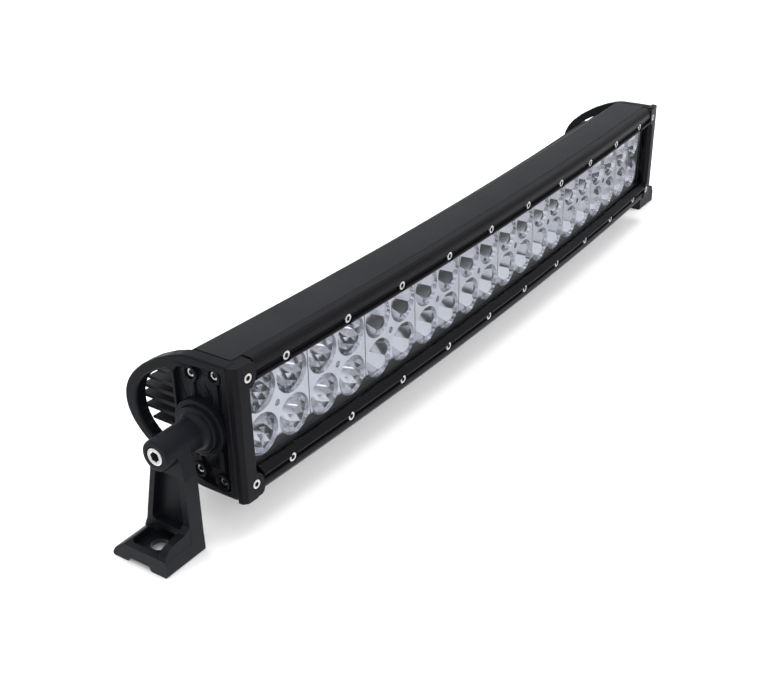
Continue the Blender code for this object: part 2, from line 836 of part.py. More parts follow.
def make_power_lead(material):
    curve = bpy.data.curves.new("power_lead_path", "CURVE")
    curve.dimensions = "3D"
    spline = curve.splines.new("POLY")
    points = lead_path()
    spline.points.add(len(points) - 1)
    for target, point in zip(spline.points, points):
        target.co = (*point, 1)
    curve.bevel_depth = LEAD_RADIUS
    curve.bevel_resolution = 1
    curve.use_fill_caps = True
    path = bpy.data.objects.new("power_lead_path", curve)
    LIGHT_BAR.objects.link(path)
    bpy.context.view_layer.update()
    depsgraph = bpy.context.evaluated_depsgraph_get()
    mesh = bpy.data.meshes.new_from_object(path.evaluated_get(depsgraph))
    bpy.data.objects.remove(path, do_unlink=True)
    shape = bmesh.new()
    shape.from_mesh(mesh)
    bmesh.ops.remove_doubles(shape, verts=shape.verts[:], dist=1e-6)
    lead = add_piece("power_lead", to_mesh("power_lead", shape), material)
    grommet = bmesh.new()
    profile = mm([
        (34.5, 0), (34.5, 3.8), (38.5, 3.8), (38.5, 7.4), (41.4, 7.4), (42.4, 6.2), (48, 5.4),
        (56, 4.2), (56, 0),
    ])
    turned(grommet, profile, "y", 0, 0, 12)
    join(lead, "grommet", grommet, arc_frame(LEAD_ALONG))


# --- Assembly --------------------------------------------------------------------------------


def build():
    make_housing()
    cap_black = make_material("cap_black")
    rubber = make_material("rubber_black")
    strip_black = make_material("strip_black")
    bracket_black = make_material("bracket_black")
    stainless = make_material("stainless")
    for side, label in ((-1, "left"), (1, "right")):
        make_end_cap(side, label, cap_black)
        make_end_cap_gasket(side, label, rubber)
        make_side_bezel(side, label, strip_black)
        make_bracket(side, label, bracket_black)
    make_strip("top_strip", 1, strip_black)
    make_strip("bottom_strip", -1, strip_black)
    make_lens(make_material("lens_clear"))
    make_lens_gasket(rubber)
    make_reflectors(make_material("reflector_silver"))
    make_led_board(make_material("board_white"))
    make_driver_board(make_material("board_green"))
    make_power_lead(rubber)
    long_screw = socket_screw_mesh("m3_screw", 2.6 * MM, 1.8 * MM, 1.4 * MM, 11 * MM, 1.4 * MM)
    make_strip_screws(long_screw, stainless)
    short_screw = socket_screw_mesh("m3_short", 2.6 * MM, 1.8 * MM, 1.4 * MM, 7 * MM, 1.4 * MM)
    make_bezel_screws(short_screw, stainless)
    make_cap_screws(long_screw, stainless)
    make_pivot_bolts(stainless)


build()
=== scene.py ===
"""Looks of a curved LED light bar on two swivel brackets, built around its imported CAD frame.

Shapes are drawn in millimetres about the swivel axis and then brought to the frame's
metres. Along the bar, places are given as distance along the arc, depth behind the bezel
face and height above the bar's middle, as in the CAD.
"""
import json
import math

import bmesh
import bpy
from mathutils import Matrix, Vector


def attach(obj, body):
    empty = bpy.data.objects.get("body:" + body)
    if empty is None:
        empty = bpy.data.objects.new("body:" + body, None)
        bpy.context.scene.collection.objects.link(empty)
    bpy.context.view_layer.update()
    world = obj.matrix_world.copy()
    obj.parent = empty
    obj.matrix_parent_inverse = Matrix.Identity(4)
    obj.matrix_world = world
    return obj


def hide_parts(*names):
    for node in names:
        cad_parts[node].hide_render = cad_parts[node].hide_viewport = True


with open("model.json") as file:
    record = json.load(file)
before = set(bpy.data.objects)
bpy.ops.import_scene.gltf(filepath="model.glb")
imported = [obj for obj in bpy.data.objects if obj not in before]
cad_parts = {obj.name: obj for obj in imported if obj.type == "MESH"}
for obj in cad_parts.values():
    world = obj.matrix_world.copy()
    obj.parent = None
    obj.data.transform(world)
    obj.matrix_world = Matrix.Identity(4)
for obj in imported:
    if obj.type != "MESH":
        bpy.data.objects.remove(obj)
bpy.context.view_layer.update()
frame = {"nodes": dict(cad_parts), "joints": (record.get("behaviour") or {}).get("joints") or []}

MM = 0.001
PIVOT = Vector(frame["joints"][0]["pos_m"])

# Bar
ARC_RADIUS = 4600.0
ARC_STEPS = 48
MODULE_COUNT = 10
MODULE_PITCH = 50.0
BODY_HALF_HEIGHT = 38.3
HOUSING_HALF_LENGTH = 255.2
CAP_INNER_ALONG = 256.2
CAP_THICKNESS = 6.8
FRONT_TO_PIVOT = 31.2
FOOT_INNER = 280.4
FOOT_OUTER = 308.4

# Strips, screws and lens
STRIP_HALF_LENGTH = 247.9
STRIP_SCREW_HEIGHT = 30.1
BEZEL_ALONG = 258.0
BEZEL_SCREW_ALONG = 254.0
BEZEL_SCREW_HEIGHT = 30.6
CAP_SCREWS = ((14.0, 30.6), (29.4, 28.1))
LENS_HALF_LENGTH = 254.6
LENS_HALF_HEIGHT = 27.3

# Reflector cups
CUP_OFFSET_ALONG = 12.35
CUP_OFFSET_HEIGHT = 12.6
CUP_RADIUS = 11.85
REFLECTOR_FRONT = 8.2
REFLECTOR_BACK = 25.0
SPOT_MODULES = (0, 1, 8, 9)

# Heat sink fins
FIN_PITCH = 6.0
FIN_ROOT_DEPTH = 38.5
FIN_ROOT_HALF = 1.3
FIN_TIP_HALF = 0.8
FIN_TIP_DEPTHS = (73.6, 71.6, 66.4, 58.8, 50.0)

# Power lead
LEAD_ALONG = 190.0
LEAD_RADIUS = 3.1
LEAD_RUN_DEPTH = 77.2
LEAD_BEND = 9

# Feet of the brackets, and the pivot bolts' heads
FOOT_BASE = -60
BOLT_HEAD_TOP = 296.2

# Studio, in metres
FLOOR_SIDE = 24
FLOOR_FADE = (1.2, 4.0)
CAMERA_LENS = 52.67
CAMERA_FROM_PIVOT = (-0.60487, -0.34412, 0.29320)
CAMERA_DEGREES = (62.1972, 0.9337, -56.1703)

TO_METRES = Matrix.Scale(MM, 4)
TO_MILLIMETRES = Matrix.Scale(1 / MM, 4)
TO_FRAME = Matrix.Translation(PIVOT) @ TO_METRES
SIDES = ((-1, "left"), (1, "right"))


# --- Places along the arc ---------------------------------------------------------------------


def place(along, depth, height):
    """The point at a distance along the arc, a depth behind the bezel face and a height."""
    angle = along / ARC_RADIUS
    reach = ARC_RADIUS - depth
    back = ARC_RADIUS - reach * math.cos(angle) - FRONT_TO_PIVOT
    return Vector((reach * math.sin(angle), back, height))


def arc_frame(along):
    """Local axes at a place on the arc: x along the bar, y into its depth, z up."""
    angle = along / ARC_RADIUS
    return Matrix.Translation(place(along, 0, 0)) @ Matrix.Rotation(angle, 4, "Z")


def swivel_frame(side):
    """Axes on the swivel axis with x pointing outwards, mirrored on the left."""
    return Matrix.Diagonal((side, 1, 1, 1))


def cap_frame(side):
    """Axes on an end cap's inner face, square to the swivel axis, with x pointing outwards."""
    return swivel_frame(side) @ Matrix.Translation(place(CAP_INNER_ALONG, 0, 0))


def end_frame(side, along):
    """Axes at one end of the bar with x pointing outwards, mirrored on the left."""
    return swivel_frame(side) @ arc_frame(along)


def module_places():
    """Distance along the arc of each reflector module, which the strip screws share."""
    middle = (MODULE_COUNT - 1) / 2
    return [(index - middle) * MODULE_PITCH for index in range(MODULE_COUNT)]


def cap_screw_places():
    """Depth and height of each screw in an end cap, two above the swivel and two below."""
    return [(depth, height * side) for side in (1, -1) for depth, height in CAP_SCREWS]


def cup_places():
    """Each cup's distance along a module and height, from the module's middle."""
    return [
        (along, height)
        for along in (-CUP_OFFSET_ALONG, CUP_OFFSET_ALONG)
        for height in (-CUP_OFFSET_HEIGHT, CUP_OFFSET_HEIGHT)
    ]


# --- Outlines ---------------------------------------------------------------------------------


def rounded(points, radius, steps=4):
    """The closed outline with each corner eased by a curve of about the given radius."""
    outline = []
    for index, point in enumerate(points):
        corner = Vector(point)
        before = Vector(points[index - 1]) - corner
        after = Vector(points[(index + 1) % len(points)]) - corner
        half_turn = before.angle(after) / 2
        wanted = radius / math.tan(half_turn) if half_turn < 1.57 else 0
        reach = min(wanted, 0.45 * before.length, 0.45 * after.length)
        if reach < 0.02:
            outline.append(tuple(corner))
            continue
        start = corner + before.normalized() * reach
        end = corner + after.normalized() * reach
        for step in range(steps + 1):
            share = step / steps
            outline.append(tuple(start.lerp(corner, share).lerp(corner.lerp(end, share), share)))
    return outline


def mirrored_outline(upper):
    """Closes an outline drawn from front to back above the middle with its mirror image."""
    lower = [(depth, -height) for depth, height in reversed(upper) if height > 1e-4]
    return upper + lower


def rectangle(low, high):
    """The four corners between a lowest and a highest corner."""
    return [(low[0], low[1]), (high[0], low[1]), (high[0], high[1]), (low[0], high[1])]


# --- Solids in millimetres --------------------------------------------------------------------


def axis_point(axis, along_axis, first, second):
    """A point from its distance along an axis and its two other coordinates in order."""
    if axis == "x":
        return Vector((along_axis, first, second))
    if axis == "y":
        return Vector((first, along_axis, second))
    return Vector((first, second, along_axis))


def prism(shape, outline, low, high, axis):
    """Adds the outline, drawn across the axis, stretched from low to high along it."""
    corners = [shape.verts.new(axis_point(axis, low, *point)) for point in outline]
    face = shape.faces.new(corners)
    extruded = bmesh.ops.extrude_face_region(shape, geom=[face])
    moved = [item for item in extruded["geom"] if isinstance(item, bmesh.types.BMVert)]
    bmesh.ops.translate(shape, vec=axis_point(axis, high - low, 0, 0), verts=moved)


def turned(shape, profile, axis, first, second, segments):
    """Adds a solid turned about a line along the axis; the profile is (distance, radius)."""
    corners = [
        shape.verts.new(axis_point(axis, distance, first, second + radius))
        for distance, radius in profile
    ]
    edges = [shape.edges.new(pair) for pair in zip(corners, corners[1:])]
    bmesh.ops.spin(
        shape,
        geom=corners + edges,
        cent=axis_point(axis, 0, first, second),
        axis=axis_point(axis, 1, 0, 0),
        angle=math.tau,
        steps=segments,
        use_merge=True,
    )
    bmesh.ops.remove_doubles(shape, verts=shape.verts[:], dist=1e-4)


def rod(shape, radius, low, high, axis, first, second, segments):
    """Adds a plain cylinder between two distances along an axis."""
    profile = [(low, 0), (low, radius), (high, radius), (high, 0)]
    turned(shape, profile, axis, first, second, segments)


def swept(shape, profile, start, end, steps=ARC_STEPS):
    """Adds a (depth, height) section swept along the bar's arc."""
    corners = [shape.verts.new(place(start, *point)) for point in profile]
    face = shape.faces.new(corners)
    bmesh.ops.spin(
        shape,
        geom=[face],
        cent=(0, ARC_RADIUS - FRONT_TO_PIVOT, 0),
        axis=(0, 0, 1),
        angle=(end - start) / ARC_RADIUS,
        steps=steps,
    )


def moved(shape, matrix):
    """The same shape in another place, with its faces pointing out even when mirrored."""
    shape.transform(matrix)
    bmesh.ops.recalc_face_normals(shape, faces=shape.faces[:])
    return shape


def gather(target, source, matrix=None):
    """Adds one shape to another and frees it."""
    if matrix is not None:
        moved(source, matrix)
    mesh = bpy.data.meshes.new("scratch")
    source.to_mesh(mesh)
    source.free()
    target.from_mesh(mesh)
    bpy.data.meshes.remove(mesh)


def to_mesh(name, shape):
    """The shape as a mesh; the shape is freed."""
    bmesh.ops.recalc_face_normals(shape, faces=shape.faces[:])
    mesh = bpy.data.meshes.new(name)
    shape.to_mesh(mesh)
    shape.free()
    return mesh


def carved(name, body, steps):
    """The body with each shape joined or cut, in order, by exact Booleans, as one mesh."""
    block = bpy.data.objects.new(name, to_mesh(name, body))
    bpy.context.scene.collection.objects.link(block)
    scratch = [block]
    for operation, shape in steps:
        tool = bpy.data.objects.new("tool", to_mesh("tool", shape))
        bpy.context.scene.collection.objects.link(tool)
        scratch.append(tool)
        modifier = block.modifiers.new(operation, "BOOLEAN")
        modifier.operation = operation
        modifier.solver = "EXACT"
        modifier.object = tool
    bpy.context.view_layer.update()
    depsgraph = bpy.context.evaluated_depsgraph_get()
    mesh = bpy.data.meshes.new_from_object(block.evaluated_get(depsgraph))
    mesh.name = name
    for item in scratch:
        bpy.data.objects.remove(item, do_unlink=True)
    return mesh


CUT = "DIFFERENCE"
JOIN = "UNION"
EDGE_ANGLE = math.radians(34)


def add_piece(name, mesh, material, body, nodes, matrix=None, bevel=0.0, segments=3):
    """Places a mesh in the frame, in metres, as a piece that stands for the given CAD nodes."""
    piece = bpy.data.objects.new(name, mesh)
    bpy.context.scene.collection.objects.link(piece)
    piece.matrix_world = TO_FRAME @ (matrix or Matrix.Identity(4)) @ TO_MILLIMETRES
    if not mesh.materials:
        mesh.transform(TO_METRES)
        mesh.materials.append(material)
    mesh.shade_smooth()
    if bevel:
        soften(piece, bevel * MM, segments)
    else:
        mesh.set_sharp_from_angle(angle=EDGE_ANGLE)
    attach(piece, body)
    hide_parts(*nodes)
    return piece


def soften(piece, width, segments):
    """Rounds a piece's hard edges by the given width in metres."""
    modifier = piece.modifiers.new("soft_edges", "BEVEL")
    modifier.width = width
    modifier.segments = segments
    modifier.limit_method = "ANGLE"
    modifier.angle_limit = EDGE_ANGLE
    modifier.use_clamp_overlap = True
    modifier.miter_outer = "MITER_ARC"
    normals = piece.modifiers.new("flat_faces", "WEIGHTED_NORMAL")
    normals.keep_sharp = True


# --- Materials --------------------------------------------------------------------------------


class Paint:
    """A node material, with short calls for the patterns the finishes share."""

    # The Mix node's colour sockets, which share their names with its other kinds
    COLOUR_A = 6
    COLOUR_B = 7
    COLOUR_RESULT = 2

    def __init__(self, name):
        self.material = bpy.data.materials.new(name)
        self.material.use_nodes = True
        self.nodes = self.material.node_tree.nodes
        self.links = self.material.node_tree.links
        self.shader = self.nodes["Principled BSDF"]
        self.output = self.nodes["Material Output"]
        self.place = self.nodes.new("ShaderNodeTexCoord").outputs["Object"]

    def join(self, source, target):
        """Links one socket to another."""
        self.links.new(source, target)

    def noise(self, size, detail=3.0, stretch=(1, 1, 1)):
        """A noise pattern whose features measure about size metres."""
        mapping = self.nodes.new("ShaderNodeMapping")
        mapping.inputs["Scale"].default_value = stretch
        self.join(self.place, mapping.inputs["Vector"])
        pattern = self.nodes.new("ShaderNodeTexNoise")
        pattern.inputs["Scale"].default_value = 1 / size
        pattern.inputs["Detail"].default_value = detail
        self.join(mapping.outputs["Vector"], pattern.inputs["Vector"])
        return pattern.outputs["Fac"]

    def between(self, value, low, high, start=0.3, end=0.7):
        """Maps a pattern's value from start..end to low..high."""
        node = self.nodes.new("ShaderNodeMapRange")
        limits = {"From Min": start, "From Max": end, "To Min": low, "To Max": high}
        for name, number in limits.items():
            node.inputs[name].default_value = number
        self.join(value, node.inputs["Value"])
        return node.outputs["Result"]

    def blend(self, share, first, second):
        """A colour between two others; each may be a plain colour or a socket."""
        node = self.nodes.new("ShaderNodeMix")
        node.data_type = "RGBA"
        if isinstance(share, (int, float)):
            node.inputs["Factor"].default_value = share
        else:
            self.join(share, node.inputs["Factor"])
        for slot, colour in ((self.COLOUR_A, first), (self.COLOUR_B, second)):
            if isinstance(colour, tuple):
                node.inputs[slot].default_value = (*colour, 1.0)
            else:
                self.join(colour, node.inputs[slot])
        return node.outputs[self.COLOUR_RESULT]

    def bump(self, height, distance, strength=1.0, normal=None):
        """A normal raised by a pattern, on top of another normal if one is given."""
        node = self.nodes.new("ShaderNodeBump")
        node.inputs["Distance"].default_value = distance
        node.inputs["Strength"].default_value = strength
        self.join(height, node.inputs["Height"])
        if normal is not None:
            self.join(normal, node.inputs["Normal"])
        return node.outputs["Normal"]

    def edges(self, radius):
        """One along the convex and concave edges, zero on flat faces."""
        soft = self.nodes.new("ShaderNodeBevel")
        soft.samples = 4
        soft.inputs["Radius"].default_value = radius
        geometry = self.nodes.new("ShaderNodeNewGeometry")
        dot = self.nodes.new("ShaderNodeVectorMath")
        dot.operation = "DOT_PRODUCT"
        self.join(soft.outputs["Normal"], dot.inputs[0])
        self.join(geometry.outputs["Normal"], dot.inputs[1])
        return self.between(dot.outputs["Value"], 1.0, 0.0, 0.9, 1.0)


def scaled(colour, share):
    """A darker or lighter copy of a colour."""
    return tuple(channel * share for channel in colour)


def coated_metal(name, colour, roughness, grain, depth, specular, stretch=(1, 1, 1)):
    """Black coating on metal: fine grain, cloudy sheen, and edges lightened by a painted highlight.
    """
    paint = Paint(name)
    cloud = paint.noise(0.030, 4.0)
    fine = paint.noise(grain, 2.0, stretch)
    # painted highlight: the colour is lightened along the edges, broken up by noise, for the sheen
    # on rounded edges
    edge_highlight = paint.nodes.new("ShaderNodeMath")
    edge_highlight.operation = "MULTIPLY"
    paint.join(paint.edges(0.0007), edge_highlight.inputs[0])
    paint.join(paint.between(paint.noise(0.004, 5.0), 0.05, 0.5), edge_highlight.inputs[1])
    base = paint.blend(paint.between(cloud, 0, 1), scaled(colour, 0.86), scaled(colour, 1.16))
    tinted = paint.blend(edge_highlight.outputs[0], base, scaled(colour, 3.2))
    paint.join(tinted, paint.shader.inputs["Base Color"])
    sheen = paint.between(fine, roughness - 0.05, roughness + 0.05)
    paint.join(sheen, paint.shader.inputs["Roughness"])
    wave = paint.bump(paint.noise(0.006, 1.0), 0.00006, 0.5)
    paint.join(paint.bump(fine, depth, 1.0, wave), paint.shader.inputs["Normal"])
    paint.shader.inputs["Specular IOR Level"].default_value = specular
    return paint.material


def mirror_metal():
    """Vacuum-metallised plastic: a bright film with faint moulding ripple and haze."""
    paint = Paint("reflector_metallised")
    haze = paint.noise(0.012, 4.0)
    colour = paint.blend(paint.between(haze, 0, 1), (0.74, 0.745, 0.775), (0.82, 0.825, 0.845))
    paint.join(colour, paint.shader.inputs["Base Color"])
    paint.shader.inputs["Metallic"].default_value = 1.0
    paint.join(paint.between(haze, 0.10, 0.16), paint.shader.inputs["Roughness"])
    ripple = paint.noise(0.0035, 2.0)
    paint.join(paint.bump(ripple, 0.00003, 0.8), paint.shader.inputs["Normal"])
    return paint.material


def stainless_steel():
    """Bright screws, with turned rings on their heads and a little staining in the grain."""
    paint = Paint("stainless_turned")
    rings = paint.nodes.new("ShaderNodeTexWave")
    rings.wave_type = "RINGS"
    rings.rings_direction = "Y"
    rings.inputs["Scale"].default_value = 1600
    rings.inputs["Distortion"].default_value = 0.4
    paint.join(paint.place, rings.inputs["Vector"])
    stain = paint.noise(0.0006, 3.0)
    colour = paint.blend(paint.between(stain, 0, 1), (0.74, 0.73, 0.70), (0.90, 0.89, 0.87))
    paint.join(colour, paint.shader.inputs["Base Color"])
    paint.shader.inputs["Metallic"].default_value = 1.0
    polish = paint.between(rings.outputs["Fac"], 0.22, 0.36, 0, 1)
    paint.join(polish, paint.shader.inputs["Roughness"])
    paint.join(paint.bump(rings.outputs["Fac"], 0.00002, 0.3), paint.shader.inputs["Normal"])
    return paint.material


def clear_lens():
    """Clear cover: passes light straight through and mirrors a little more at a slant."""
    paint = Paint("lens_polycarbonate")
    through = paint.nodes.new("ShaderNodeBsdfTransparent")
    haze = paint.noise(0.05, 3.0)
    tint = paint.blend(paint.between(haze, 0, 1), (0.965, 0.97, 0.985), (0.985, 0.99, 1.0))
    paint.join(tint, through.inputs["Color"])
    gloss = paint.nodes.new("ShaderNodeBsdfGlossy")
    paint.join(paint.between(haze, 0.02, 0.06), gloss.inputs["Roughness"])
    facing = paint.nodes.new("ShaderNodeLayerWeight")
    slant = paint.nodes.new("ShaderNodeMath")
    slant.operation = "POWER"
    slant.inputs[1].default_value = 4
    paint.join(facing.outputs["Facing"], slant.inputs[0])
    mix = paint.nodes.new("ShaderNodeMixShader")
    paint.join(paint.between(slant.outputs[0], 0.025, 0.4, 0, 1), mix.inputs["Fac"])
    paint.join(through.outputs[0], mix.inputs[1])
    paint.join(gloss.outputs[0], mix.inputs[2])
    paint.join(mix.outputs[0], paint.output.inputs["Surface"])
    return paint.material


def matte(name, dark, light, size, roughness, depth):
    """Rubber, board and phosphor: a mottled colour with a soft uneven surface."""
    paint = Paint(name)
    pattern = paint.noise(size, 4.0)
    colour = paint.blend(paint.between(pattern, 0, 1), dark, light)
    paint.join(colour, paint.shader.inputs["Base Color"])
    sheen = paint.between(pattern, roughness - 0.08, roughness + 0.08)
    paint.join(sheen, paint.shader.inputs["Roughness"])
    paint.join(paint.bump(pattern, depth, 0.7), paint.shader.inputs["Normal"])
    return paint.material


def make_coatings():
    """The black finishes, in which colours are very dark because sheen adds to them."""
    return {
        "housing_black": coated_metal(
            "housing_coat", (0.0095, 0.010, 0.0115),
            roughness=0.44, grain=0.0009, depth=0.00003, specular=0.22,
        ),
        "cap_black": coated_metal(
            "cap_coat", (0.004, 0.0044, 0.006),
            roughness=0.40, grain=0.0008, depth=0.00003, specular=0.14,
        ),
        "strip_black": coated_metal(
            "strip_anodised", (0.0042, 0.0042, 0.0054), roughness=0.36, grain=0.0007, depth=0.00002,
            specular=0.13, stretch=(0.05, 1, 1),
        ),
        "bracket_black": coated_metal(
            "bracket_coat", (0.005, 0.0054, 0.0072),
            roughness=0.40, grain=0.0010, depth=0.00004, specular=0.15,
        ),
    }


def make_mattes():
    """Rubber, boards and phosphor, and the shade at the bottom of a screw's socket."""
    return {
        "socket_shade": matte(
            "socket_shade", (0.010, 0.010, 0.011), (0.022, 0.021, 0.020),
            size=0.0008, roughness=0.5, depth=0.00001,
        ),
        "rubber_black": matte(
            "rubber", (0.012, 0.012, 0.013), (0.026, 0.026, 0.027),
            size=0.002, roughness=0.75, depth=0.00005,
        ),
        "board_white": matte(
            "board_mask_white", (0.66, 0.66, 0.62), (0.78, 0.78, 0.75),
            size=0.004, roughness=0.45, depth=0.00002,
        ),
        "board_green": matte(
            "board_mask_green", (0.02, 0.12, 0.05), (0.04, 0.19, 0.09),
            size=0.004, roughness=0.45, depth=0.00002,
        ),
        "phosphor": matte(
            "phosphor_yellow", (0.72, 0.60, 0.16), (0.86, 0.76, 0.30),
            size=0.001, roughness=0.3, depth=0.00001,
        ),
    }


def make_materials():
    """Every finish, by the name of the slot it fills."""
    return {
        **make_coatings(),
        "lens_clear": clear_lens(),
        "reflector_silver": mirror_metal(),
        "stainless": stainless_steel(),
        **make_mattes(),
    }


# --- Housing and its end caps -----------------------------------------------------------------


def fin_points(row):
    """One fin's outline, from its upper root round its tip to its lower root."""
    height = row * FIN_PITCH
    tip = FIN_TIP_DEPTHS[abs(row)]
    return [
        (FIN_ROOT_DEPTH, height + FIN_ROOT_HALF),
        (tip - 0.5, height + FIN_TIP_HALF),
        (tip, height + 0.35),
        (tip, height - 0.35),
        (tip - 0.5, height - FIN_TIP_HALF),
        (FIN_ROOT_DEPTH, height - FIN_ROOT_HALF),
    ]


def housing_section():
    """Half the tub and roof from front to back, then the fins, then the lower half."""
    top = [
        (33.2, 11.5), (27.4, 11.5), (27.4, 25.8), (7.9, 25.8), (7.9, 37.5), (8.1, 38.0),
        (8.7, BODY_HALF_HEIGHT), (29.5, BODY_HALF_HEIGHT), (30.7, 38.2), (31.8, 37.8),
        (33.2, 36.9), (35.8, 34.9), (40.6, 31.1), (41, 30.6), (41, 28.8), (40.6, 28.4), (38.5, 27.9),
    ]
    fins = []
    outermost = len(FIN_TIP_DEPTHS) - 1
    for row in range(outermost, -outermost - 1, -1):
        fins += fin_points(row)
    bottom = [(depth, -height) for depth, height in reversed(top)]
    return top + fins + bottom


def end_waste(side):
    """What is sawn off an end of the extrusion, to leave it square to the swivel axis."""
    near = place(HOUSING_HALF_LENGTH, 0, 0).x
    waste = bmesh.new()
    prism(waste, rectangle((-60, -50), (90, 50)), near, near + 30, "x")
    return moved(waste, swivel_frame(side))


def make_housing(finishes):
    shape = bmesh.new()
    sawn_off = 8  # spare length at each end, which end_waste takes away
    swept(shape, housing_section(), -HOUSING_HALF_LENGTH - sawn_off, HOUSING_HALF_LENGTH + sawn_off)
    pocket = bmesh.new()
    prism(pocket, rectangle((-17, 38.2), (15, 92)), -9.2, 9.2, "z")
    hole = bmesh.new()
    rod(hole, 4.2, 30, 42, "y", 0, 0, 24)
    steps = [(CUT, end_waste(side)) for side, _ in SIDES]
    steps += [(CUT, moved(item, arc_frame(LEAD_ALONG))) for item in (pocket, hole)]
    mesh = carved("housing_shell", shape, steps)
    add_piece("housing_shell", mesh, finishes["housing_black"], "lamp", ["housing"])


def cap_plate():
    """The cap's plate, with the loop's opening through it and its outer face's rims rounded."""
    outer = [
        (4, 37.1), (5.2, BODY_HALF_HEIGHT), (28, BODY_HALF_HEIGHT), (33.5, 37.5), (42, 34.7),
        (52, 30.2), (62, 24.0), (69, 18.0), (73.7, 12), (76.4, 6), (77.2, 0),
    ]
    inner = [
        (41.8, 24.6), (42.8, 26.2), (44.8, 26.2), (52, 23.1), (60, 18.1), (65, 13.1),
        (68, 7), (69, 0),
    ]
    outline = rounded(mirrored_outline(outer), 30)
    opening = rounded(mirrored_outline(inner), 20)
    shape = bmesh.new()
    prism(shape, outline, 0, CAP_THICKNESS, "x")
    window = bmesh.new()
    prism(window, opening, -4, CAP_THICKNESS + 4, "x")
    mesh = carved("plate", shape, [(CUT, window)])
    plate = bmesh.new()
    plate.from_mesh(mesh)
    bpy.data.meshes.remove(mesh)
    for face in plate.faces:
        face.normal_update()
    rim = [
        edge
        for edge in plate.edges
        if all(abs(vert.co.x - CAP_THICKNESS) < 1e-3 for vert in edge.verts)
        and any(abs(face.normal.x) < 0.5 for face in edge.link_faces)
    ]
    bmesh.ops.bevel(
        plate, geom=rim, offset=2.2, segments=4, profile=0.5, affect="EDGES", clamp_overlap=True
    )
    return plate


def cap_details(frame_here, side):
    """The cuts and additions that turn the plain plate into the casting, in order."""
    pocket = bmesh.new()
    hollow = mirrored_outline([(8, 33), (9.6, 34.6), (25, 33.6), (36.6, 30.4), (39.6, 27)])
    prism(pocket, rounded(hollow, 2.0), CAP_THICKNESS - 2.6, CAP_THICKNESS + 4, "x")
    bosses = bmesh.new()
    ribs = bmesh.new()
    holes = bmesh.new()
    bore = [(-2, 0), (-2, 1.8), (2.9, 1.8), (2.9, 3.1), (9, 3.1), (9, 0)]
    for depth, height in cap_screw_places():
        rod(bosses, 4.6, 1, CAP_THICKNESS - 0.4, "x", depth, height, 40)
        turned(holes, bore, "x", depth, height, 32)
    for depth, _ in CAP_SCREWS:
        for direction in (1, -1):
            low, high = sorted((12 * direction, 25.5 * direction))
            outline = rectangle((depth - 1.6, low), (depth + 1.6, high))
            prism(ribs, outline, 2, CAP_THICKNESS - 1.4, "x")
    boss = bmesh.new()
    ring = [(257, 0), (257, 15.9), (264.6, 15.9), (265.3, 15.6), (265.6, 14.9), (265.6, 0)]
    turned(boss, ring, "x", 0, 0, 72)
    socket = bmesh.new()
    recess = [(257.4, 0), (257.4, 3.5), (263.1, 3.5), (263.1, 13.2), (268, 13.2), (268, 0)]
    turned(socket, recess, "x", 0, 0, 64)
    return [
        (CUT, moved(pocket, frame_here)),
        (JOIN, moved(bosses, frame_here)),
        (JOIN, moved(ribs, frame_here)),
        (JOIN, moved(boss, swivel_frame(side))),
        (CUT, moved(holes, frame_here)),
        (CUT, moved(socket, swivel_frame(side))),
    ]


def make_end_cap(side, label, finishes):
    here = cap_frame(side)
    name = f"end_cap_{label}_casting"
    mesh = carved(name, moved(cap_plate(), here), cap_details(here, side))
    nodes = [f"end_cap_{label}"]
    add_piece(name, mesh, finishes["cap_black"], "lamp", nodes, bevel=0.45)


# --- Front of the bar -------------------------------------------------------------------------


def strip_section(direction):
    """The extruded strip: a chamfered inner ridge, a screw groove and a rounded outer edge."""
    section = [
        (3.4, 24.7), (2.4, 24.4), (-0.3, 26.3), (-1.2, 27.1), (-1.5, 27.8), (-1.45, 28.2),
        (-1.1, 28.7), (1.2, 28.8), (1.2, 31.5), (-0.3, 31.6), (-0.7, 32.1), (-0.7, 34.8),
        (-0.2, 36.3), (1.0, 37.6), (2.6, BODY_HALF_HEIGHT), (7.6, BODY_HALF_HEIGHT), (7.6, 27.7),
        (3.4, 27.7),
    ]
    return [(depth, height * direction) for depth, height in rounded(section, 0.35, 3)]


def make_strip(label, direction, finishes):
    shape = bmesh.new()
    swept(shape, strip_section(direction), -STRIP_HALF_LENGTH, STRIP_HALF_LENGTH)
    holes = bmesh.new()
    profile = [(-4, 0), (-4, 3.1), (1.6, 3.1), (1.6, 1.8), (9, 1.8), (9, 0)]
    for along in module_places():
        hole = bmesh.new()
        turned(hole, profile, "y", 0, STRIP_SCREW_HEIGHT * direction, 32)
        gather(holes, hole, arc_frame(along))
    name = f"{label}_strip_extrusion"
    mesh = carved(name, shape, [(CUT, holes)])
    add_piece(name, mesh, finishes["strip_black"], "lamp", [f"{label}_strip"])


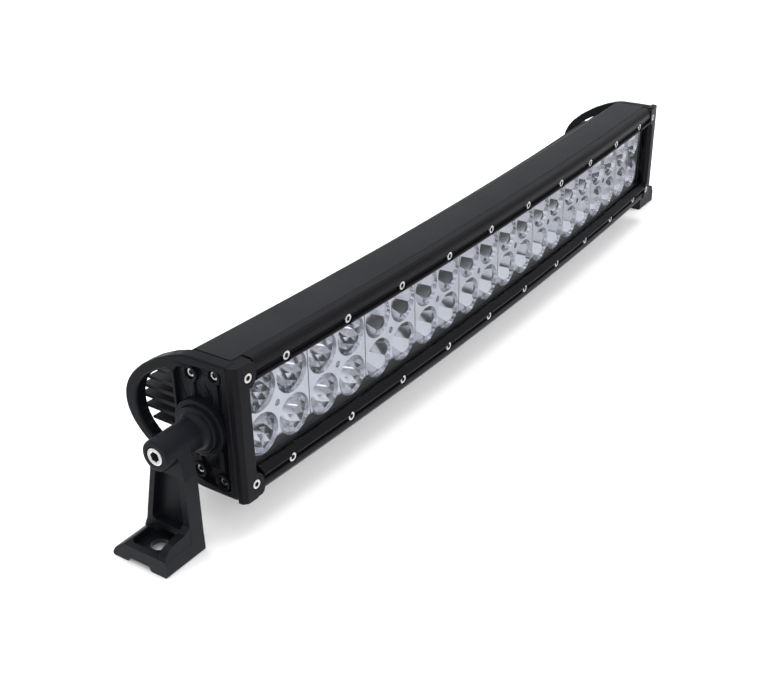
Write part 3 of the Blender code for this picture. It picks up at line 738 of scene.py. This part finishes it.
def make_side_bezel(side, label, finishes):
    here = end_frame(side, BEZEL_ALONG)
    section = [
        (-6.5, 3.4), (-6.5, 1.4), (-4.6, -1.2), (-4.0, -1.5), (2.6, -1.5), (5.0, 0.3), (5.5, 3.4),
    ]
    shape = bmesh.new()
    prism(shape, rounded(section, 0.5), -38.8, 38.8, "z")
    lobe = [
        (0.0, 24.6), (-6.3, 24.6), (-8.4, 27.1), (-9.4, 29.6), (-9.7, 32.5), (-9.5, 35.6),
        (-8.9, 37.2), (-7.4, 38.2), (0.0, 38.4),
    ]
    lobes, pads, holes = bmesh.new(), bmesh.new(), bmesh.new()
    profile = [(-4, 0), (-4, 3.0), (0.6, 3.0), (0.6, 1.6), (9, 1.6), (9, 0)]
    offset = BEZEL_SCREW_ALONG - BEZEL_ALONG
    for direction in (1, -1):
        front = [(along, height * direction) for along, height in rounded(lobe, 1.2)]
        prism(lobes, front, -1.45, 3.3, "y")
        low, high = sorted((27.8 * direction, 37.7 * direction))
        prism(pads, rectangle((-9.2, low), (-2.1, high)), 1, 7.6, "y")
        turned(holes, profile, "y", offset, BEZEL_SCREW_HEIGHT * direction, 32)
    name = f"side_bezel_{label}_casting"
    steps = [(JOIN, lobes), (JOIN, pads), (CUT, holes)]
    mesh = carved(name, moved(shape, here), [(kind, moved(item, here)) for kind, item in steps])
    nodes = [f"side_bezel_{label}"]
    add_piece(name, mesh, finishes["strip_black"], "lamp", nodes, bevel=0.45)


def make_lens(finishes):
    shape = bmesh.new()
    outline = rounded(rectangle((3.7, -LENS_HALF_HEIGHT), (6.7, LENS_HALF_HEIGHT)), 0.4)
    swept(shape, outline, -LENS_HALF_LENGTH, LENS_HALF_LENGTH)
    mesh = to_mesh("lens_cover", shape)
    add_piece("lens_cover", mesh, finishes["lens_clear"], "lamp", ["lens"])


# --- Reflectors and emitters ------------------------------------------------------------------


def reflector_outline():
    """Front view of a module: straight sides, and an edge scalloped round each cup."""
    half_length, notch, crest = 24.65, 19.5, 12.5
    steps = 96
    upper = []
    for step in range(steps + 1):
        along = -half_length + 2 * half_length * step / steps
        offset = abs(along) - CUP_OFFSET_ALONG
        rise = math.sqrt(max(crest**2 - offset**2, 0))
        upper.append((along, max(notch, CUP_OFFSET_HEIGHT + rise)))
    return upper + [(along, -height) for along, height in reversed(upper)]


def faceted_cup(tiers, sectors, twist):
    """A funnel of flat facets. Each tier is (depth, radius); alternate tiers may be turned."""
    shape = bmesh.new()
    rings = []
    for depth, radius, turn in tiers:
        ring = []
        for index in range(sectors):
            angle = math.tau * (index + twist + turn) / sectors
            corner = (radius * math.cos(angle), depth, radius * math.sin(angle))
            ring.append(shape.verts.new(corner))
        rings.append(ring)
    for first, second in zip(rings, rings[1:]):
        for index in range(sectors):
            after = (index + 1) % sectors
            shape.faces.new((first[index], first[after], second[after], second[index]))
    shape.faces.new(rings[0])
    shape.faces.new(rings[-1])
    bmesh.ops.triangulate(shape, faces=[face for face in shape.faces if len(face.verts) == 4])
    return shape


FLOOD_TIERS = ((6.5, 14.6, 0), (11.5, 12.3, 0), (17.5, 8.9, 0), (22.6, 4.6, 0), (26.5, 2.2, 0))
SPOT_TIERS = (
    (6.5, 13.4, 0), (11.0, 12.0, 0), (14.5, 10.3, 0.5), (18.0, 8.2, 0), (21.5, 5.6, 0.5),
    (26.5, 2.2, 0.5),
)
FACET_ANGLE = math.radians(12)


def cup_cutter(tiers, sectors, twist):
    """The funnel trimmed to a round rim."""
    rim = bmesh.new()
    rod(rim, CUP_RADIUS, 7, 26.2, "y", 0, 0, 96)
    mesh = carved("cup", rim, [("INTERSECT", faceted_cup(tiers, sectors, twist))])
    cutter = bmesh.new()
    cutter.from_mesh(mesh)
    bpy.data.meshes.remove(mesh)
    return cutter


def reflector_mesh(name, tiers, sectors, twist):
    """A module's block with its four cups and the hole of its fixing screw."""
    block = bmesh.new()
    prism(block, reflector_outline(), REFLECTOR_FRONT, REFLECTOR_BACK, "y")
    cups = bmesh.new()
    for along, height in cup_places():
        gather(cups, cup_cutter(tiers, sectors, twist), Matrix.Translation((along, 0, height)))
    hole = bmesh.new()
    rod(hole, 1.9, 7, 12, "y", 0, 0, 32)
    return carved(name, block, [(CUT, cups), (CUT, hole)])


def make_reflectors(finishes):
    flood = reflector_mesh("reflector_flood", FLOOD_TIERS, 8, 0.5)
    spot = reflector_mesh("reflector_spot", SPOT_TIERS, 14, 0.0)
    for index, along in enumerate(module_places()):
        mesh = spot if index in SPOT_MODULES else flood
        node = f"reflector_{index + 1:02d}"
        here = arc_frame(along)
        silver = finishes["reflector_silver"]
        piece = add_piece(f"{node}_cups", mesh, silver, "lamp", [node], here)
        piece.data.set_sharp_from_angle(angle=FACET_ANGLE)


def make_led_board(finishes):
    """The card, and on it a square base and a phosphor dome at the bottom of every cup."""
    board = bmesh.new()
    swept(board, rounded(rectangle((25.4, -25.0), (27.0, 25.0)), 0.2, 2), -249, 249)
    bases, domes = bmesh.new(), bmesh.new()
    dome = []
    for step in range(9):
        turn = math.radians(90) * step / 8
        dome.append((24.9 - 1.45 * math.cos(turn), 1.45 * math.sin(turn)))
    for along in module_places():
        for offset, height in cup_places():
            base = bmesh.new()
            low, high = (offset - 1.7, height - 1.7), (offset + 1.7, height + 1.7)
            prism(base, rounded(rectangle(low, high), 0.3, 2), 24.7, 25.35, "y")
            gather(bases, base, arc_frame(along))
            lens = bmesh.new()
            turned(lens, dome + [(24.9, 0)], "y", offset, height, 24)
            gather(domes, lens, arc_frame(along))
    mesh = to_mesh("led_board_card", board)
    add_piece("led_board_card", mesh, finishes["board_white"], "lamp", ["led_board"])
    mesh = to_mesh("emitter_bases", bases)
    add_piece("emitter_bases", mesh, finishes["board_white"], "lamp", ["led_board"])
    mesh = to_mesh("emitter_domes", domes)
    add_piece("emitter_domes", mesh, finishes["phosphor"], "lamp", ["led_board"])


# --- Fasteners --------------------------------------------------------------------------------


GOLDEN_TURN = 2.399963  # the golden angle in radians, so no two sockets line up
SOCKET_SHADE = 1  # the material slot of a socket's walls and floor


def ring_of(shape, distance, count, radius, hexagonal=False):
    """A ring of points in a circle, or round a hexagon with the given corner radius."""
    points = []
    for index in range(count):
        angle = math.tau * index / count
        reach = radius
        if hexagonal:
            fold = (angle + math.pi / 6) % (math.pi / 3) - math.pi / 6
            turn = abs(abs(fold) - math.pi / 6)
            reach = radius * math.cos(math.pi / 6) / math.cos(turn)
        point = (reach * math.sin(angle), distance, reach * math.cos(angle))
        points.append(shape.verts.new(point))
    return points


def socket_screw_mesh(name, head_radius, head_height, shank_radius, length, socket_corner):
    """A socket screw whose head faces -y: eased head edges, a hexagon socket, and a thread."""
    count = 48
    ease = head_radius * 0.14
    depth = head_height * 0.6
    shape = bmesh.new()
    rings = [
        ring_of(shape, depth, count, socket_corner, True),
        ring_of(shape, socket_corner * 0.1, count, socket_corner, True),
        ring_of(shape, 0, count, socket_corner * 1.12),
        ring_of(shape, 0, count, head_radius - ease),
        ring_of(shape, ease * 0.3, count, head_radius - ease * 0.3),
        ring_of(shape, ease, count, head_radius),
        ring_of(shape, head_height, count, head_radius),
        ring_of(shape, head_height, count, shank_radius),
    ]
    pitch = shank_radius * 0.36
    turns = int(length / pitch) - 1
    for turn in range(turns):
        start = head_height + pitch * (turn + 0.5)
        rings.append(ring_of(shape, start, count, shank_radius))
        rings.append(ring_of(shape, start + pitch / 2, count, shank_radius * 0.86))
    rings.append(ring_of(shape, head_height + length, count, shank_radius * 0.8))
    for first, second in zip(rings, rings[1:]):
        in_socket = first is rings[0]
        for index in range(count):
            after = (index + 1) % count
            face = shape.faces.new((first[index], first[after], second[after], second[index]))
            face.material_index = SOCKET_SHADE if in_socket else 0
    shape.faces.new(rings[0]).material_index = SOCKET_SHADE
    shape.faces.new(rings[-1])
    return to_mesh(name, shape)


def add_screw(node, mesh, finishes, body, matrix, turn):
    """Places a screw with its socket turned by its own angle, as screws come to rest."""
    spin = Matrix.Rotation(turn, 4, "Y")
    steel = finishes["stainless"]
    add_piece(f"{node}_steel", mesh, steel, body, [node], matrix @ spin)
    if len(mesh.materials) == 1:
        mesh.materials.append(finishes["socket_shade"])


def make_screws(finishes):
    long_screw = socket_screw_mesh("m3_long", 2.6, 1.8, 1.4, 11, 1.45)
    short_screw = socket_screw_mesh("m3_short", 2.6, 1.8, 1.4, 7, 1.45)
    turn = 0.0
    for label, direction in (("top", 1), ("bottom", -1)):
        for index, along in enumerate(module_places()):
            offset = Matrix.Translation((0, -0.4, STRIP_SCREW_HEIGHT * direction))
            turn += GOLDEN_TURN
            node = f"{label}_strip_screw_{index + 1:02d}"
            add_screw(node, long_screw, finishes, "lamp", arc_frame(along) @ offset, turn)
    for side, end in SIDES:
        for label, direction in (("top", 1), ("bottom", -1)):
            offset = Matrix.Translation((0, -1.4, BEZEL_SCREW_HEIGHT * direction))
            turn += GOLDEN_TURN
            here = arc_frame(side * BEZEL_SCREW_ALONG) @ offset
            add_screw(f"bezel_screw_{end}_{label}", short_screw, finishes, "lamp", here, turn)
        facing = Matrix.Rotation(math.radians(90) * side, 4, "Z")
        for number, (depth, height) in enumerate(cap_screw_places(), 1):
            offset = Matrix.Translation((side * 5.0, depth, height))
            turn += GOLDEN_TURN
            corner = Matrix.Translation(place(side * CAP_INNER_ALONG, 0, 0))
            here = corner @ offset @ facing
            add_screw(f"cap_screw_{end}_{number}", long_screw, finishes, "lamp", here, turn)


def make_pivot_bolts(finishes):
    mesh = socket_screw_mesh("pivot_bolt_m6", 4.9, 4.9, 3.0, 33.2, 2.9)
    for side, end in SIDES:
        facing = Matrix.Rotation(math.radians(90) * side, 4, "Z")
        offset = Matrix.Translation((side * BOLT_HEAD_TOP, 0, 0))
        add_screw(f"pivot_bolt_{end}", mesh, finishes, f"{end}_mount", offset @ facing, side * 0.3)


# --- Swivel brackets --------------------------------------------------------------------------


def barrel(shape):
    """The round arm: a flange against the cap, a flared root and an eased end."""
    profile = [
        (263.4, 0), (263.4, 12.8), (267.0, 12.8), (267.6, 12.5), (267.9, 11.9), (267.9, 10.9),
        (268.3, 10.1), (269.2, 9.3), (270.4, 8.8), (271.8, 8.5), (294.4, 8.5), (295.2, 8.3),
        (295.8, 7.8), (296, 7.1), (296, 0),
    ]
    turned(shape, profile, "x", 0, 0, 72)


def make_bracket(side, label, finishes):
    here = swivel_frame(side)
    upright = [
        (-8.2, 1), (8.2, 1), (10.2, -8), (11.3, -14), (18.2, -46), (20.4, -51), (20.4, -56),
        (-11.4, -56), (-11.4, -14), (-10.4, -8),
    ]
    recess = [
        (-6.8, -13), (7.2, -13), (8.4, -16), (14.2, -43), (13.2, -45), (-6.2, -45), (-7.2, -43),
        (-7.6, -15),
    ]
    foot = [
        (-11.4, FOOT_BASE), (-0.8, FOOT_BASE), (0.4, -57.4), (13.6, -57.4), (14.8, FOOT_BASE),
        (24.4, FOOT_BASE), (25.4, -59.2), (25.0, -57.5), (23.2, -54.7), (20.3, -52.0),
        (17.0, -50.2), (-11.4, -50),
    ]
    cheek = [
        (281, -58), (308.1, -58), (308.2, -50.5), (307.2, -47.6), (305.0, -45.4),
        (301.8, -44.2), (293.4, -43.4), (288.8, -40.5), (281, -38),
    ]
    pocket = [(289.8, -4.8), (302.3, -4.8), (304.8, -2.4), (304.8, 13.6), (302.3, 16), (289.8, 16)]
    names = ("upright", "recess", "barrel", "foot", "cheek", "pocket", "seat", "bore")
    solids = {name: bmesh.new() for name in names}
    prism(solids["upright"], rounded(upright, 3.0), 280.6, 289.6, "x")
    prism(solids["recess"], rounded(recess, 2.0), 285, 296, "x")
    barrel(solids["barrel"])
    prism(solids["foot"], rounded(foot, 1.2), FOOT_INNER, FOOT_OUTER, "x")
    prism(solids["cheek"], rounded(cheek, 3.0), -11.3, -6.8, "y")
    prism(solids["pocket"], rounded(pocket, 2.0), -54.2, -46, "z")
    seat = [(-64, 0), (-64, 4.6), (-54.9, 4.6), (-54.9, 9.2), (-49, 9.2), (-49, 0)]
    turned(solids["seat"], seat, "z", 294.6, 6, 64)
    bore = [(260, 0), (260, 3.4), (291, 3.4), (291, 5.4), (299, 5.4), (299, 0)]
    turned(solids["bore"], bore, "x", 0, 0, 48)
    order = (
        ("recess", CUT), ("barrel", JOIN), ("foot", JOIN), ("cheek", JOIN), ("pocket", CUT),
        ("seat", CUT), ("bore", CUT),
    )
    steps = [(kind, moved(solids[name], here)) for name, kind in order]
    name = f"bracket_{label}_casting"
    mesh = carved(name, moved(solids["upright"], here), steps)
    nodes = [f"bracket_{label}"]
    black = finishes["bracket_black"]
    add_piece(name, mesh, black, f"{label}_mount", nodes, bevel=0.8)


# --- Power lead -------------------------------------------------------------------------------


def lead_path():
    """Centre line of the lead: out through the housing's back, then along its fins."""
    points = [place(LEAD_ALONG, 36, 0), place(LEAD_ALONG, 60, 0)]
    steps = 12
    for step in range(steps + 1):
        turn = math.radians(90) * step / steps
        along = LEAD_ALONG - LEAD_BEND + LEAD_BEND * math.cos(turn)
        depth = LEAD_RUN_DEPTH - LEAD_BEND + LEAD_BEND * math.sin(turn)
        points.append(place(along, depth, 0))
    return points + [place(along, LEAD_RUN_DEPTH, 0) for along in (160, 132, 104)]


def make_power_lead(finishes):
    curve = bpy.data.curves.new("lead_path", "CURVE")
    curve.dimensions = "3D"
    spline = curve.splines.new("POLY")
    points = lead_path()
    spline.points.add(len(points) - 1)
    for target, point in zip(spline.points, points):
        target.co = (*point, 1)
    curve.bevel_depth = LEAD_RADIUS
    curve.bevel_resolution = 6
    curve.use_fill_caps = True
    path = bpy.data.objects.new("lead_path", curve)
    bpy.context.scene.collection.objects.link(path)
    bpy.context.view_layer.update()
    depsgraph = bpy.context.evaluated_depsgraph_get()
    mesh = bpy.data.meshes.new_from_object(path.evaluated_get(depsgraph))
    bpy.data.objects.remove(path, do_unlink=True)
    sheath = bmesh.new()
    sheath.from_mesh(mesh)
    bmesh.ops.remove_doubles(sheath, verts=sheath.verts[:], dist=1e-4)
    grommet = bmesh.new()
    profile = [(34.5, 0), (34.5, 3.8), (38.5, 3.8), (38.5, 7.4), (41.4, 7.4), (42.4, 6.2)]
    for ridge in range(4):
        start = 43.4 + ridge * 3.2
        width = 5.6 - ridge * 0.4
        profile += [
            (start, width - 0.6), (start + 0.5, width), (start + 2.0, width - 0.1),
            (start + 2.6, width - 0.7),
        ]
    profile += [(56.4, 3.6), (56.4, 0)]
    turned(grommet, profile, "y", 0, 0, 48)
    mesh = carved("power_lead_sheath", sheath, [(JOIN, moved(grommet, arc_frame(LEAD_ALONG)))])
    rubber = finishes["rubber_black"]
    add_piece("power_lead_sheath", mesh, rubber, "lamp", ["power_lead"])


# --- CAD nodes that stay ----------------------------------------------------------------------


def dress_cad_nodes(finishes):
    """Gives the seals and the driver board, which keep their CAD shapes, their finishes."""
    kept = {
        "end_cap_gasket_left": "rubber_black",
        "end_cap_gasket_right": "rubber_black",
        "lens_gasket": "rubber_black",
        "driver_board": "board_green",
    }
    for node, slot in kept.items():
        piece = frame["nodes"][node]
        piece.data.materials.clear()
        piece.data.materials.append(finishes[slot])
        weld = piece.modifiers.new("weld", "WELD")
        weld.merge_threshold = 1e-6
        soften(piece, 0.00015, 2)


# --- Studio -----------------------------------------------------------------------------------


def make_floor():
    """A pale floor that brightens with distance, so its far edge melts into the background."""
    bpy.ops.mesh.primitive_plane_add(size=FLOOR_SIDE, location=(0, 0, 0))
    floor = bpy.context.object
    floor.name = "studio_floor"
    paint = Paint("studio_floor")
    mottle = paint.between(paint.noise(0.8), 0, 1)
    tint = paint.blend(mottle, (0.86, 0.86, 0.865), (0.88, 0.88, 0.885))
    paint.join(tint, paint.shader.inputs["Base Color"])
    paint.shader.inputs["Roughness"].default_value = 0.6
    reach = paint.nodes.new("ShaderNodeVectorMath")
    reach.operation = "LENGTH"
    paint.join(paint.place, reach.inputs[0])
    paint.shader.inputs["Emission Color"].default_value = (1, 1, 1, 1)
    glow = paint.between(reach.outputs["Value"], 0, 1, *FLOOR_FADE)
    paint.join(glow, paint.shader.inputs["Emission Strength"])
    floor.data.materials.append(paint.material)
    floor.visible_glossy = False


def make_world():
    """A pale studio. Mirrors see a white floor, a lit band below the horizon and dimmer walls."""
    world = bpy.data.worlds.new("studio")
    bpy.context.scene.world = world
    world.use_nodes = True
    nodes, links = world.node_tree.nodes, world.node_tree.links
    background = nodes["Background"]
    coordinates = nodes.new("ShaderNodeTexCoord")
    split = nodes.new("ShaderNodeSeparateXYZ")
    links.new(coordinates.outputs["Generated"], split.inputs[0])
    spread = nodes.new("ShaderNodeMapRange")
    spread.inputs["From Min"].default_value = -1
    links.new(split.outputs["Z"], spread.inputs["Value"])
    ramp = nodes.new("ShaderNodeValToRGB")
    # (place, brightness): 0 is straight down, 0.5 the horizon and 1 straight up
    stops = (
        (0.0, 1.5), (0.12, 1.3), (0.26, 0.80), (0.36, 0.55), (0.38, 1.8), (0.44, 1.8), (0.46, 0.40),
        (0.62, 0.42), (0.74, 0.60), (0.84, 0.80), (0.92, 0.90), (1.0, 1.0),
    )
    while len(ramp.color_ramp.elements) < len(stops):
        ramp.color_ramp.elements.new(0.5)
    for element, (position, level) in zip(ramp.color_ramp.elements, stops):
        element.position = position
        element.color = (level * 0.98, level * 0.99, level * 1.03, 1)
    links.new(spread.outputs["Result"], ramp.inputs["Fac"])
    links.new(ramp.outputs["Color"], background.inputs["Color"])
    pale = nodes.new("ShaderNodeBackground")
    pale.inputs["Color"].default_value = (0.98, 0.98, 0.985, 1)
    rays = nodes.new("ShaderNodeLightPath")
    mix = nodes.new("ShaderNodeMixShader")
    links.new(rays.outputs["Is Glossy Ray"], mix.inputs["Fac"])
    links.new(pale.outputs[0], mix.inputs[1])
    links.new(background.outputs[0], mix.inputs[2])
    links.new(mix.outputs[0], nodes["World Output"].inputs["Surface"])


def add_light(name, location, target, size, power):
    """A rectangular soft box aimed at a point, left out of mirrored views."""
    light = bpy.data.lights.new(name, "AREA")
    light.shape = "RECTANGLE"
    light.size, light.size_y = size
    light.energy = power
    item = bpy.data.objects.new(name, light)
    item.visible_glossy = False
    bpy.context.scene.collection.objects.link(item)
    item.location = location
    direction = Vector(target) - Vector(location)
    item.rotation_euler = direction.to_track_quat("-Z", "Y").to_euler()


def make_lights():
    """Four soft boxes."""
    add_light("overhead", (0.1, 0.1, 1.6), (0, 0, 0), size=(1.6, 1.0), power=26)
    add_light("front_left", (-1.1, -1.3, 1.0), (0, 0, 0.05), size=(0.9, 0.6), power=12)
    add_light("front_right", (1.5, -1.0, 0.8), (0.1, 0, 0.05), size=(0.5, 0.8), power=8)
    add_light("behind", (0.4, 1.8, 1.1), (0, 0, 0.1), size=(1.4, 0.5), power=10)


def make_camera():
    data = bpy.data.cameras.new("camera")
    data.lens = CAMERA_LENS
    data.sensor_width = 36
    data.clip_start = 0.01
    camera = bpy.data.objects.new("camera", data)
    bpy.context.scene.collection.objects.link(camera)
    camera.location = PIVOT + Vector(CAMERA_FROM_PIVOT)
    camera.rotation_euler = [math.radians(angle) for angle in CAMERA_DEGREES]
    bpy.context.scene.camera = camera


# --- Assembly ---------------------------------------------------------------------------------


def build():
    finishes = make_materials()
    make_housing(finishes)
    for side, label in SIDES:
        make_end_cap(side, label, finishes)
        make_side_bezel(side, label, finishes)
        make_bracket(side, label, finishes)
    make_strip("top", 1, finishes)
    make_strip("bottom", -1, finishes)
    make_lens(finishes)
    make_reflectors(finishes)
    make_led_board(finishes)
    make_screws(finishes)
    make_pivot_bolts(finishes)
    make_power_lead(finishes)
    dress_cad_nodes(finishes)
    make_floor()
    make_world()
    make_lights()
    make_camera()
    bpy.context.scene.view_settings.view_transform = "Standard"


build()
